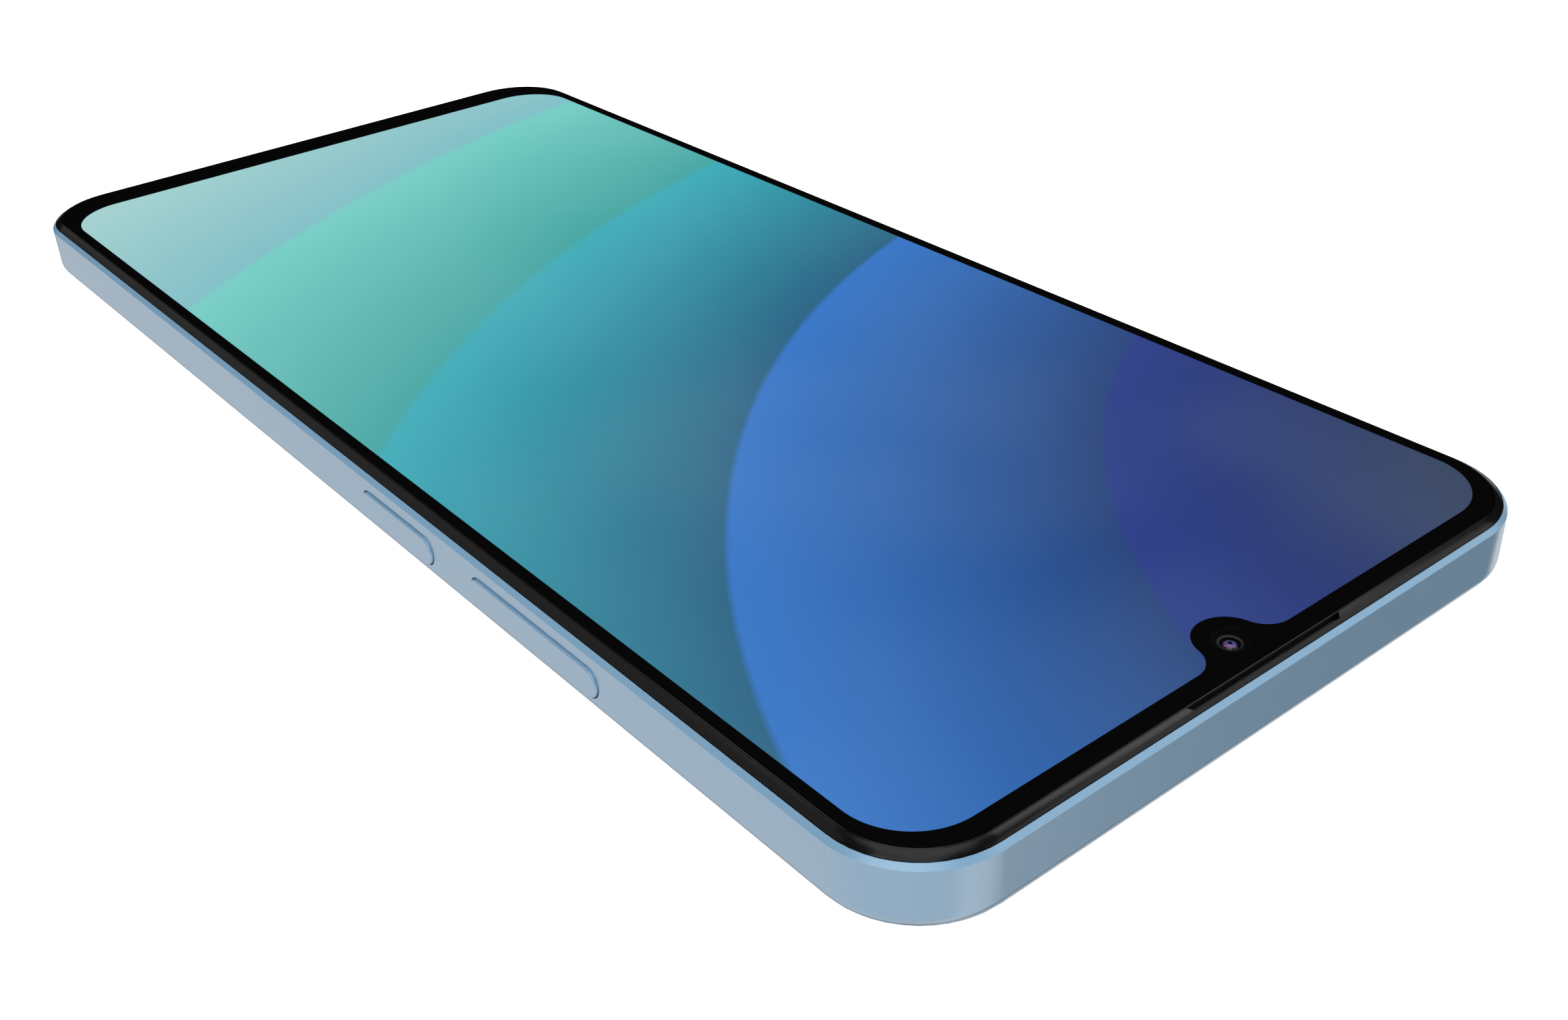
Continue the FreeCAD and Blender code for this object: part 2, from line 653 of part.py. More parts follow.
def tube(points, radius, bend):
    """A round tube along straight runs in one level plane, joined by tangent arcs."""
    edges = []
    start = points[0]
    for before, corner, after in zip(points, points[1:], points[2:]):
        to_before = (before - corner).normalize()
        to_after = (after - corner).normalize()
        half_angle = to_before.getAngle(to_after) / 2
        back = bend / math.tan(half_angle)
        middle_way = (to_before + to_after).normalize()
        enter = corner + to_before * back
        leave = corner + to_after * back
        nearest = corner + middle_way * (bend / math.sin(half_angle) - bend)
        edges.append(line(start, enter))
        edges.append(arc(enter, nearest, leave))
        start = leave
    edges.append(line(start, points[-1]))
    path = Part.Wire(edges)
    way = points[1] - points[0]
    ring = Part.Wire(Part.Circle(points[0], way, radius).toShape())
    return path.makePipeShell([ring], True, False)


def antenna_cable():
    """The thin coaxial lead along the battery's side, with a snap connector at each end."""
    level = BACK + 2.3
    radius = 0.4
    route = [(-31.0, 33.0), (-35.3, 29.0), (-35.3, -57.5), (-33.2, -62.8)]
    points = [FreeCAD.Vector(x, y, level) for x, y in route]
    lead = tube(points, radius, 4.0)
    upper = disc(1.1, *route[0], (level - 0.5, BOARD_LOW))
    end_x, end_y = route[-1]
    lower = disc(1.1, end_x, end_y, (level - 0.5, SUB_HIGH + 0.25))
    tab = box((end_x, end_x + 1.2), (end_y - 2.6, end_y), (SUB_HIGH, SUB_HIGH + 0.25))
    return joined(lead, upper, lower, tab)


# ---- cameras ------------------------------------------------------------------------------------


def camera_ring(y):
    """The metal ring round a rear lens: a rounded outer rim and a neck through the cover."""
    rim_low = BACK - CAMERA_STAND
    rim = disc(RING_R, CAMERA_X, y, (rim_low, BACK - TOUCH))
    low_edge = [e for e in rim.Edges if abs(e.BoundBox.ZMax - rim_low) < 1e-6]
    rim = rim.makeFillet(0.45, low_edge)
    neck = disc(RING_NECK_R, CAMERA_X, y, (BACK - 0.3, FLOOR))
    seat = disc(WINDOW_R, CAMERA_X, y, (rim_low - 1, BACK - 0.20))
    bore = disc(RING_BORE_R, CAMERA_X, y, (rim_low - 1, FLOOR + 1))
    return cut(joined(rim, neck), seat, bore)


def camera_window(y):
    return disc(WINDOW_R - TOUCH, CAMERA_X, y, (BACK - 0.80, BACK - 0.20 - TOUCH))


def camera_module(y, body_half, barrel_r):
    """The sensor housing with the lens barrel that points out of the back."""
    x_limits = (CAMERA_X - body_half, CAMERA_X + body_half)
    y_limits = (y - body_half, y + body_half)
    shoulder = BACK + 1.3
    body = box(x_limits, y_limits, (shoulder, PLATE_LOW - 0.15))
    barrel = disc(barrel_r, CAMERA_X, y, (BACK + 0.05, shoulder))
    bore = disc(barrel_r - BARREL_WALL, CAMERA_X, y, (BACK - 1, LENS_SEAT))
    return cut(joined(body, barrel), bore)


def camera_lens(y, barrel_r):
    """The front lens element: a plano-convex glass in the mouth of the barrel."""
    radius = barrel_r - BARREL_WALL - TOUCH
    low = BACK + 0.35
    sag = 0.25
    curve = (radius**2 + sag**2) / (2 * sag)
    ball = Part.makeSphere(curve, FreeCAD.Vector(CAMERA_X, y, low + curve))
    return disc(radius, CAMERA_X, y, (low, LENS_SEAT)).common(ball)


def flash_led():
    return box((FLASH_X - 1.2, FLASH_X + 1.2), (FLASH_Y - 1.2, FLASH_Y + 1.2), (BOARD_LOW - 0.6, BOARD_LOW))


def flash_lens():
    """The clear light guide in the cover's hole, whose stem reaches down over the light."""
    window = disc(FLASH_R, FLASH_X, FLASH_Y, (BACK + 0.05, FLOOR + 0.3))
    stem = disc(2.0, FLASH_X, FLASH_Y, (FLOOR, BOARD_LOW - 0.7))
    return joined(window, stem)


def front_camera_module():
    """The selfie camera: a square body below the plate and a stepped barrel up to the glass."""
    body = box((-3.2, 3.2), (FRONT_CAMERA_Y - 3.9, FRONT_CAMERA_Y + 1.8), (BACK + 2.4, PLATE_LOW - 0.1))
    barrel = disc(FRONT_BARREL_R, 0, FRONT_CAMERA_Y, (PLATE_LOW - 0.1, MASK_LOW - 0.05))
    cone_base = FreeCAD.Vector(0, FRONT_CAMERA_Y, MASK_LOW - 0.5)
    cone = Part.makeCone(FRONT_LENS_R, CAMERA_HOLE_R, 0.45, cone_base)
    bore = disc(FRONT_LENS_R, 0, FRONT_CAMERA_Y, (MASK_LOW - 1.2, MASK_LOW))
    return cut(joined(body, barrel), cone, bore)


def front_camera_lens():
    radius = FRONT_LENS_R - TOUCH
    high = MASK_LOW - 0.45
    sag = 0.25
    curve = (radius**2 + sag**2) / (2 * sag)
    ball = Part.makeSphere(curve, FreeCAD.Vector(0, FRONT_CAMERA_Y, high - curve))
    return disc(radius, 0, FRONT_CAMERA_Y, (MASK_LOW - 1.15, high)).common(ball)


def proximity_sensor():
    return box((-8.6, -5.4), (78.9, 80.9), (PLATE_LOW - 1.2, PLATE_LOW - 0.1))


# ---- sound --------------------------------------------------------------------------------------


def earpiece_receiver():
    body = box((4.6, 15.6), (73.6, 80.8), (BACK + 2.2, PLATE_LOW - 0.1))
    spout = box((4.8, 8.8), (80.8, 81.0), (BACK + 3.4, PLATE_LOW - 0.3))
    return joined(body, spout)


def earpiece_mesh():
    """A strip of fine mesh at the bottom of the slot between glass and rim."""
    y = HALF_Y - POCKET_INSET
    half = EARPIECE_HALF - EARPIECE_OUT - 0.1
    return box((-half, half), (y + TOUCH, y + EARPIECE_OUT - 0.04), (EARPIECE_FLOOR, EARPIECE_FLOOR + 0.12))


def loudspeaker_box(room):
    """The speaker's closed air chamber, with its driver as a round step on the back."""
    chamber = box((13.2, 35.4), (-80.9, -58.6), (BRACKET_HIGH + 0.1, PLATE_LOW - 0.15))
    mouth = box((SPEAKER_X - 6.6, SPEAKER_X + 6.6), (-82, -79.4), (PORT_Z - 0.8, PORT_Z + 0.8))
    post = disc(BOSS_R + 0.3, *LOWER_SCREWS[3], (BACK, FRONT))
    inside_skirt = outline(SKIRT_INNER_INSET + 0.1, (BACK, FRONT))
    return cut(chamber, mouth, post).common(room).common(inside_skirt)


def loudspeaker_mesh():
    y = -HALF_Y + WALL + 0.05
    return box((SPEAKER_X - 6.5, SPEAKER_X + 6.5), (y, y + 0.15), (PORT_Z - 1.0, PORT_Z + 1.0))


def vibration_motor():
    return disc(MOTOR_R, *MOTOR_AT, (BACK + 1.6, BACK + 4.4))


def microphone():
    return box((MIC_X - 1.8, MIC_X + 1.8), (MIC_FRONT, MIC_FRONT + 2.6), (SUB_HIGH, SUB_HIGH + 1.1))


def microphone_gasket():
    """The rubber sleeve that leads sound from the hole in the cover to the microphone."""
    y = (-HALF_Y + WALL + TOUCH, MIC_FRONT - 0.05)
    return cut(rod_y(0.95, MIC_X, y, MIC_Z), rod_y(MIC_HOLE_R, MIC_X, (y[0] - 1, y[1] + 1), MIC_Z))


# ---- ports --------------------------------------------------------------------------------------


def usb_shell():
    """The drawn steel sleeve of a type C socket, closed at its inner end."""
    sleeve = stadium("Y", USB_WIDTH, USB_HEIGHT, (USB_FRONT, USB_END), (0, USB_Z))
    inner_width = USB_WIDTH - 2 * USB_SHEET
    inner_height = USB_HEIGHT - 2 * USB_SHEET
    inner_reach = (USB_FRONT - 1, USB_END - USB_BACK_WALL)
    return cut(sleeve, stadium("Y", inner_width, inner_height, inner_reach, (0, USB_Z)))


def usb_tongue():
    """The plastic tongue with its contact strips, in the middle of the socket."""
    back_y = USB_END - USB_BACK_WALL
    front_y = back_y - 5.5
    blade = box((-3.35, 3.35), (front_y, back_y), (USB_Z - 0.35, USB_Z + 0.35))
    base = stadium("Y", 7.6, 2.0, (back_y - 1.0, back_y), (0, USB_Z))
    return joined(blade, base)


def headphone_jack():
    """The jack's moulded body round a straight bore, with a round nose in the cover's hole."""
    x = (JACK_X - JACK_HALF - 0.3, JACK_X + JACK_HALF + 0.3)
    y = (-HALF_Y + 2.5, JACK_END)
    body = box(x, y, (JACK_Z - JACK_HALF, JACK_Z + JACK_HALF))
    nose = rod_y(JACK_R + 0.15, JACK_X, (-HALF_Y + 0.6, y[0]), JACK_Z)
    bore = rod_y(JACK_R, JACK_X, (-HALF_Y, y[1] - 0.7), JACK_Z)
    return cut(joined(body, nose), bore)


# ---- keys ---------------------------------------------------------------------------------------


def key(y, length, nubs):
    """A side key: the cap in the slot, the ears behind the wall and the nubs on the switches."""
    outer = HALF_X + KEY_PROUD
    cap = stadium("X", length, KEY_HEIGHT, (HALF_X - WALL - 0.4, outer), (y, KEY_Z))
    crown = [e for e in cap.Edges if e.BoundBox.XMin > outer - 1e-6]
    cap = cap.makeFillet(KEY_EDGE, crown)
    ears_x = (HALF_X - WALL - 1.0, HALF_X - WALL - 0.35)
    ears = box(ears_x, (y - length / 2 - 0.8, y + length / 2 + 0.8), (KEY_Z - 1.1, KEY_Z + 1.1))
    stems = [rod_x(NUB_R, (SWITCH_X - 0.5, ears_x[0]), y + offset, KEY_Z) for offset in nubs]
    return joined(cap, ears, *stems)


def switch_housing(y):
    """One side switch, with the hollow that the key's nub presses into."""
    body = box((KEY_STRIP_X + 0.15, SWITCH_X), (y - 2.2, y + 2.2), (KEY_Z - 1.3, KEY_Z + 1.3))
    return cut(body, rod_x(NUB_R + 0.1, (SWITCH_X - 0.8, SWITCH_X + 1), y, KEY_Z))


def side_key_flex():
    """The upright strip behind the switches and its tail to the main board."""
    strip = (KEY_STRIP_X, KEY_STRIP_X + 0.15)
    wall = box(strip, (POWER_Y - 5, VOLUME_Y + 9), (KEY_Z - 1.5, KEY_Z + 1.2))
    cut_board = box((KEY_STRIP_X - 1, KEY_STRIP_X + 1), (29.4, 40.1), (BOARD_LOW - 0.05, BOARD_HIGH + 0.05))
    tail = box((KEY_STRIP_X - 4.5, KEY_STRIP_X), (31.0, 33.5), (BOARD_HIGH + 0.05, BOARD_HIGH + 0.7))
    return joined(cut(wall, cut_board), tail)


# ---- card tray ----------------------------------------------------------------------------------

def sim_tray():
    """The card tray: a face flush with the side, and a thin carrier with a pocket for each card."""
    wall = (-HALF_X, -HALF_X + WALL)
    face = stadium("X", CARD_FACE_LENGTH, CARD_FACE_HEIGHT, wall, (CARD_Y, CARD_Z))
    z = (CARD_Z - CARD_THICK / 2, CARD_Z + CARD_THICK / 2)
    half_width = CARD_WIDTH / 2
    carrier = box((wall[1] - 0.3, CARD_END_X), (CARD_Y - half_width, CARD_Y + half_width), z)
    far_edges = [e for e in carrier.Edges if e.BoundBox.XMin > CARD_END_X - 0.1]
    end_corners = [e for e in far_edges if e.BoundBox.ZLength > 0.5 * CARD_THICK]
    carrier = carrier.makeFillet(1.2, end_corners)
    hollows = []
    x = wall[1] + 1.8
    for deep, wide in CARD_POCKETS:
        half = wide / 2
        hollows.append(box((x, x + deep), (CARD_Y - half, CARD_Y + half), (z[1] - CARD_RECESS, z[1] + 1)))
        inner = half - CARD_LEDGE
        inner_x = (x + CARD_LEDGE, x + deep - CARD_LEDGE)
        hollows.append(box(inner_x, (CARD_Y - inner, CARD_Y + inner), (z[0] - 1, z[1] + 1)))
        x += deep + POCKET_SPACE
    pin_hole = rod_x(PIN_HOLE_R, (wall[0] - 1, wall[1] + 0.1), CARD_Y + 5.6, CARD_Z)
    return cut(joined(face, carrier), pin_hole, *hollows)


def sim_reader():
    """The pressed metal cage on the main board that the card tray runs in."""
    half = CARD_WIDTH / 2 + CARD_GAP
    low = BOARD_HIGH
    high = PLATE_LOW - 0.08
    x = (-36.3, CARD_END_X + 0.8)
    cage = box(x, (CARD_Y - half - READER_SHEET, CARD_Y + half + READER_SHEET), (low, high))
    channel_z = (CARD_Z - CARD_THICK / 2 - CARD_GAP, CARD_Z + CARD_THICK / 2 + CARD_GAP)
    channel = box((x[0] - 1, CARD_END_X + 0.3), (CARD_Y - half, CARD_Y + half), channel_z)
    return cut(cage, channel)


# ---- all the pieces -----------------------------------------------------------------------------


def pieces():
    room = inner_room()
    low_can = (BRACKET_HIGH + 0.05, BOARD_LOW)
    chip_low = (BOARD_LOW - 0.9, BOARD_LOW)
    top_can = (BOARD_HIGH, PLATE_LOW - 0.15)
    yield "rear_cover", rear_cover()
    yield "front_bezel", front_bezel()
    yield "cover_glass", cover_glass()
    yield "border_mask", border_mask()
    yield "clear_glue", clear_glue()
    yield "display_panel", display_panel()
    yield "backlight_unit", backlight_unit()
    yield "backlight_tray", backlight_tray()
    yield "display_tape", display_tape()
    yield "display_flex", display_flex()
    yield "midframe_plate", midframe_plate()
    yield "graphite_sheet", graphite_sheet()
    yield "battery_cell", battery_cell()
    yield "battery_adhesive", battery_adhesive()
    yield "battery_flex", battery_flex()
    yield "main_board", main_board(room)
    yield "processor_shield", shield((-27, 1), (53.5, 71), *low_can, "high")
    yield "processor_chip", box((-22, -9), (55.5, 68.5), chip_low)
    yield "radio_shield", shield((-27, 1), (35, 49), *low_can, "high")
    yield "radio_chip", box((-24, -15), (38, 46), chip_low)
    yield "memory_shield", shield((-27, 4), (49, 71), *top_can, "low")
    yield "memory_chip", box((-20, -8), (53, 67), (BOARD_HIGH, BOARD_HIGH + 0.9))
    yield "upper_bracket", upper_bracket(room)
    yield "lower_bracket", lower_bracket(room)
    yield "bracket_screws", bracket_screws()
    yield "sub_board", sub_board(room)
    yield "board_link_flex", board_link_flex()
    yield "antenna_cable", antenna_cable()
    rear_cameras = [("main", MAIN_CAMERA_Y, 5.6, 4.2), ("depth", DEPTH_CAMERA_Y, 4.2, 3.2)]
    for name, y, half, barrel in rear_cameras:
        yield name + "_camera_ring", camera_ring(y)
        yield name + "_camera_window", camera_window(y)
        yield name + "_camera_module", camera_module(y, half, barrel)
        yield name + "_camera_lens", camera_lens(y, barrel)
    yield "flash_led", flash_led()
    yield "flash_lens", flash_lens()
    yield "front_camera_module", front_camera_module()
    yield "front_camera_lens", front_camera_lens()
    yield "proximity_sensor", proximity_sensor()
    yield "earpiece_receiver", earpiece_receiver()
    yield "earpiece_mesh", earpiece_mesh()
    yield "loudspeaker_box", loudspeaker_box(room)
    yield "loudspeaker_mesh", loudspeaker_mesh()
    yield "vibration_motor", vibration_motor()
    yield "microphone", microphone()
    yield "microphone_gasket", microphone_gasket()
    yield "usb_shell", usb_shell()
    yield "usb_tongue", usb_tongue()
    yield "headphone_jack", headphone_jack()
    yield "power_button", key(POWER_Y, POWER_LENGTH, [0])
    yield "volume_rocker", key(VOLUME_Y, VOLUME_LENGTH, [-VOLUME_SWITCH_REACH, VOLUME_SWITCH_REACH])
    yield "power_switch", switch_housing(POWER_Y)
    yield "volume_switches", group(switch_housing(VOLUME_Y + s * VOLUME_SWITCH_REACH) for s in (-1, 1))
    yield "side_key_flex", side_key_flex()
    yield "sim_tray", sim_tray()
    yield "sim_reader", sim_reader()


def main():
    os.makedirs("parts", exist_ok=True)
    for name, shape in pieces():
        shape.exportStep("parts/" + name + ".step")
        solids = len(shape.Solids)
        print(f"{name:24s} solids {solids}  volume {shape.Volume:9.1f} mm3  valid {shape.isValid()}")


main()
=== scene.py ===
import math

import bmesh
import bpy
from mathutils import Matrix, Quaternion, Vector
from mathutils.geometry import delaunay_2d_cdt


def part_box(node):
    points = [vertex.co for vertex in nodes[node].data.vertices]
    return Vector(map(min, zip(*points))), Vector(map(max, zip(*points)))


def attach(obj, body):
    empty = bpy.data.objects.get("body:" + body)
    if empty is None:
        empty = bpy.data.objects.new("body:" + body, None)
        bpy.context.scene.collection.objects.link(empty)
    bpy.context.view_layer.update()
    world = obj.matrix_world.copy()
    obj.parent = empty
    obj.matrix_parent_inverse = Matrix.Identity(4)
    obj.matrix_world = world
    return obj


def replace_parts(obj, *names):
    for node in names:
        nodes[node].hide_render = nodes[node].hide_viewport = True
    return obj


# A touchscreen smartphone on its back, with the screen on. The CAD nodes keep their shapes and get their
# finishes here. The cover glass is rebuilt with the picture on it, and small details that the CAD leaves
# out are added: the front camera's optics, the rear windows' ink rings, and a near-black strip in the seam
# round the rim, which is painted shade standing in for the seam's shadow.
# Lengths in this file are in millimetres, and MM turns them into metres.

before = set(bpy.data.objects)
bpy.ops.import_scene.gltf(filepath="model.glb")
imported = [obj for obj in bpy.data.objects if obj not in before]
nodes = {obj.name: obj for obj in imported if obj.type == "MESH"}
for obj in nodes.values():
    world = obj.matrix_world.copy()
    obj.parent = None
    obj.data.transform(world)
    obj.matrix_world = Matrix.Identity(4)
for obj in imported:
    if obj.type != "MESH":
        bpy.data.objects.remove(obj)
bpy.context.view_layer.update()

MM = 0.001

# The body's plan, from its corners; the screen's margins are counted from the glass's edge.
CORNER = 9.0
GLASS_INSET = 1.25
BACK_EDGE = 5.0
GLASS_EDGE = 0.12
MARGIN_SIDE = 1.25
MARGIN_TOP = 1.94
MARGIN_BOTTOM = 4.64
SCREEN_CORNER = 6.5
NOTCH_R = 3.1
NOTCH_FILLET = 2.6
CAMERA_HOLE_R = 1.65
EYE_LENS_R = 0.68
EYE_LENS_RISE = 0.28
# heights of the near-black strip in the rim's seam, which is painted shade
SEAM_SHADE_LOW = 8.0
SEAM_SHADE_HIGH = 8.368


def low_mm(node):
    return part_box(node)[0] / MM


def high_mm(node):
    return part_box(node)[1] / MM


def centre_mm(node):
    return (low_mm(node) + high_mm(node)) / 2


FRONT = high_mm("cover_glass").z
GLASS_HALF_X = high_mm("cover_glass").x
GLASS_HALF_Y = high_mm("cover_glass").y
EYE = centre_mm("front_camera_lens")


# ---- camera ---------------------------------------------------------------------------------------

CAMERA_AT = Vector((95.32, 145.37, 90.47))
CAMERA_AZIMUTH = 142.107
CAMERA_ELEVATION = 31.505
CAMERA_ROLL = -2.539
CAMERA_LENS = 40.17


def make_camera():
    azimuth = math.radians(CAMERA_AZIMUTH)
    elevation = math.radians(CAMERA_ELEVATION)
    level = math.cos(elevation)
    back = Vector((math.sin(azimuth) * level, -math.cos(azimuth) * level, math.sin(elevation)))
    turn = (-back).to_track_quat("-Z", "Y")
    roll = Quaternion((0, 0, 1), math.radians(CAMERA_ROLL))
    data = bpy.data.cameras.new("camera")
    data.lens = CAMERA_LENS
    data.sensor_width = 36.0
    data.clip_start = 0.002
    data.clip_end = 50.0
    camera = bpy.data.objects.new("camera", data)
    camera.location = CAMERA_AT * MM
    camera.rotation_mode = "QUATERNION"
    camera.rotation_quaternion = turn @ roll
    bpy.context.scene.collection.objects.link(camera)
    bpy.context.scene.camera = camera


# ---- materials ------------------------------------------------------------------------------------


def rgb(red, green, blue):
    """A screen colour, 0 to 255, as the linear colour that a shader takes."""

    def linear(value):
        share = value / 255
        return share / 12.92 if share <= 0.04045 else ((share + 0.055) / 1.055) ** 2.4

    return (linear(red), linear(green), linear(blue), 1.0)


class Value:
    """A number in a material that changes over the surface, with ordinary arithmetic."""

    def __init__(self, graph, socket):
        self.graph = graph
        self.socket = socket

    def __add__(self, other):
        return self.graph.math("ADD", self, other)

    def __sub__(self, other):
        return self.graph.math("SUBTRACT", self, other)

    def __rsub__(self, other):
        return self.graph.math("SUBTRACT", other, self)

    def __mul__(self, other):
        return self.graph.math("MULTIPLY", self, other)

    def __truediv__(self, other):
        return self.graph.math("DIVIDE", self, other)

    __radd__ = __add__
    __rmul__ = __mul__

    def root(self):
        return self.graph.math("SQRT", self)

    def size(self):
        return self.graph.math("ABSOLUTE", self)

    def step(self, start, end):
        """0 before start, 1 after end, and a smooth rise between them."""
        return self.graph.mapped(self, start, end, 0.0, 1.0, "SMOOTHSTEP")

    def line(self, start, end, low, high):
        """low before start, high after end, and a straight line between them."""
        return self.graph.mapped(self, start, end, low, high, "LINEAR")


class Graph:
    """The nodes of a material or the world, with short ways to write their maths."""

    def __init__(self, owner):
        owner.use_nodes = True
        self.material = owner
        self.tree = owner.node_tree

    def node(self, kind):
        return self.tree.nodes.new(kind)

    def feed(self, socket, value):
        if isinstance(value, Value):
            value = value.socket
        if isinstance(value, bpy.types.NodeSocket):
            self.tree.links.new(value, socket)
        else:
            socket.default_value = value

    def math(self, operation, *values):
        made = self.node("ShaderNodeMath")
        made.operation = operation
        for socket, value in zip(made.inputs, values):
            self.feed(socket, value)
        return Value(self, made.outputs[0])

    def mapped(self, value, start, end, low, high, interpolation):
        made = self.node("ShaderNodeMapRange")
        made.interpolation_type = interpolation
        for socket, entry in zip(made.inputs, (value, start, end, low, high)):
            self.feed(socket, entry)
        return Value(self, made.outputs[0])

    def place(self):
        """Where the point is in the object's own frame, in millimetres, as three values."""
        split = self.node("ShaderNodeSeparateXYZ")
        self.feed(split.inputs[0], self.node("ShaderNodeTexCoord").outputs["Object"])
        return [Value(self, axis) * (1 / MM) for axis in split.outputs]

    def noise(self, grain, detail=2.0, rough=0.5, stretch=(1, 1, 1)):
        """Soft random patches about grain millimetres across, from 0 to 1."""
        mapping = self.node("ShaderNodeMapping")
        mapping.inputs["Scale"].default_value = Vector(stretch) / (grain * MM)
        self.feed(mapping.inputs["Vector"], self.node("ShaderNodeTexCoord").outputs["Object"])
        made = self.node("ShaderNodeTexNoise")
        self.feed(made.inputs["Vector"], mapping.outputs[0])
        for key, value in (("Scale", 1.0), ("Detail", detail), ("Roughness", rough)):
            made.inputs[key].default_value = value
        return Value(self, made.outputs["Fac"])

    def ramp(self, value, stops):
        """A colour for each value, from stops of (value from 0 to 1, colour)."""
        made = self.node("ShaderNodeValToRGB")
        ends = made.color_ramp.elements
        for index, (position, colour) in enumerate(stops):
            stop = ends[index] if index < 2 else ends.new(position)
            stop.position = position
            stop.color = colour
        self.feed(made.inputs[0], value)
        return made.outputs[0]

    def mix(self, share, first, second):
        """The first colour where share is 0 and the second where it is 1."""
        made = self.node("ShaderNodeMix")
        made.data_type = "RGBA"
        self.feed(made.inputs["Factor"], share)
        self.feed(made.inputs[6], first)
        self.feed(made.inputs[7], second)
        return made.outputs[2]

    def bump(self, height, depth):
        """Feeds a height from 0 to 1, depth millimetres tall, to the shader's normal."""
        made = self.node("ShaderNodeBump")
        made.inputs["Distance"].default_value = depth * MM
        self.feed(made.inputs["Height"], height)
        self.feed(self.shader.inputs["Normal"], made.outputs[0])

    def speckled(self, colour, spread, grain):
        """Feeds a base colour that gets lighter and darker by spread in patches of that grain."""
        share = self.noise(grain, 3.0)
        dark = [channel * (1 - spread) for channel in colour[:3]] + [1.0]
        light = [min(1.0, channel * (1 + spread)) for channel in colour[:3]] + [1.0]
        self.feed(self.shader.inputs["Base Color"], self.mix(share, dark, light))
        return share

    def roughened(self, low, high, grain):
        """Feeds a roughness that wanders between low and high in patches of that grain."""
        self.feed(self.shader.inputs["Roughness"], self.noise(grain, 3.0).line(0.3, 0.7, low, high))


def surface(name, **sockets):
    """A new material's graph, with plain values for some of its shader's sockets."""
    graph = Graph(bpy.data.materials.new(name))
    graph.shader = graph.tree.nodes["Principled BSDF"]
    for key, value in sockets.items():
        graph.shader.inputs[key.replace("_", " ").title().replace("Ior", "IOR")].default_value = value
    return graph


def moulded(name, colour, rough=(0.42, 0.5), grain=0.12, depth=0.003, spread=0.03, **sockets):
    """Moulded plastic with a fine spark-eroded grain."""
    graph = surface(name, **sockets)
    graph.speckled(colour, spread, 3.0)
    graph.roughened(*rough, 1.5)
    if depth:
        graph.bump(graph.noise(grain, 2.0), depth)
    return graph.material


def sheet_metal(name, colour, rough=(0.28, 0.4), along=(1, 1, 12), grain=0.5, depth=0.002):
    """Rolled metal, with fine lines along the roll."""
    graph = surface(name, metallic=1.0)
    graph.speckled(colour, 0.08, 2.0)
    lines = graph.noise(grain, 4.0, 0.6, along)
    graph.feed(graph.shader.inputs["Roughness"], lines.line(0.3, 0.7, *rough))
    graph.bump(lines, depth)
    return graph.material


def woven_mesh(name, colour, pitch, metallic=1.0):
    """A fine woven mesh: bright wires with dark holes between them."""
    graph = surface(name, metallic=metallic, roughness=0.45)
    x, _, z = graph.place()
    turn = 2 * math.pi / pitch
    across = graph.math("SINE", (x + z) * turn)
    along = graph.math("SINE", (x - z) * turn)
    wires = graph.math("MAXIMUM", across, along)
    shade = wires.step(-0.2, 0.9)
    graph.feed(graph.shader.inputs["Base Color"], graph.mix(shade, rgb(3, 3, 3), colour))
    graph.bump(shade, pitch * 0.3)
    return graph.material


def film(name, colour, line_colour, pitch):
    """Flexible film with copper tracks under it."""
    graph = surface(name, roughness=0.32, coat_weight=0.3)
    x, _, z = graph.place()
    tracks = graph.math("SINE", (x + z) * (2 * math.pi / pitch)).step(0.1, 0.5)
    colour = graph.mix(tracks, colour, line_colour)
    graph.feed(graph.shader.inputs["Base Color"], colour)
    graph.bump(tracks, 0.01)
    return graph.material


def circuit_board(name):
    """Solder mask over copper: green with faint tracks and pale pads."""
    graph = surface(name, roughness=0.3, coat_weight=0.4, coat_roughness=0.2)
    x, y, _ = graph.place()
    cells = graph.node("ShaderNodeTexVoronoi")
    cells.distance = "CHEBYCHEV"
    mapping = graph.node("ShaderNodeMapping")
    mapping.inputs["Scale"].default_value = (450, 450, 450)
    graph.feed(mapping.inputs["Vector"], graph.node("ShaderNodeTexCoord").outputs["Object"])
    graph.feed(cells.inputs["Vector"], mapping.outputs[0])
    cells.inputs["Scale"].default_value = 1.0
    pads = Value(graph, cells.outputs["Distance"]).step(0.16, 0.12)
    tracks = graph.math("SINE", (x * 0.6 + y) * 9.0).step(0.6, 0.8)
    mask = graph.mix(tracks, rgb(12, 66, 40), rgb(24, 92, 56))
    graph.feed(graph.shader.inputs["Base Color"], graph.mix(pads, mask, rgb(196, 180, 120)))
    graph.bump(tracks, 0.01)
    return graph.material


def clear(name, colour, rough=0.02, ior=1.5):
    """Clear glass or resin, with a trace of haze that isn't even."""
    graph = surface(name, base_color=colour, transmission_weight=1.0, ior=ior)
    graph.roughened(rough, rough + 0.02, 1.0)
    return graph.material


# ---- the picture on the screen --------------------------------------------------------------------

# Broad rings of colour round a point outside the screen's corner, in millimetres: the point, the nearest
# ring's inner edge and how far the rings reach from there.
RINGS_CENTRE = (-70.0, 110.0)
RINGS_START = 45.0
RINGS_REACH = 172.0


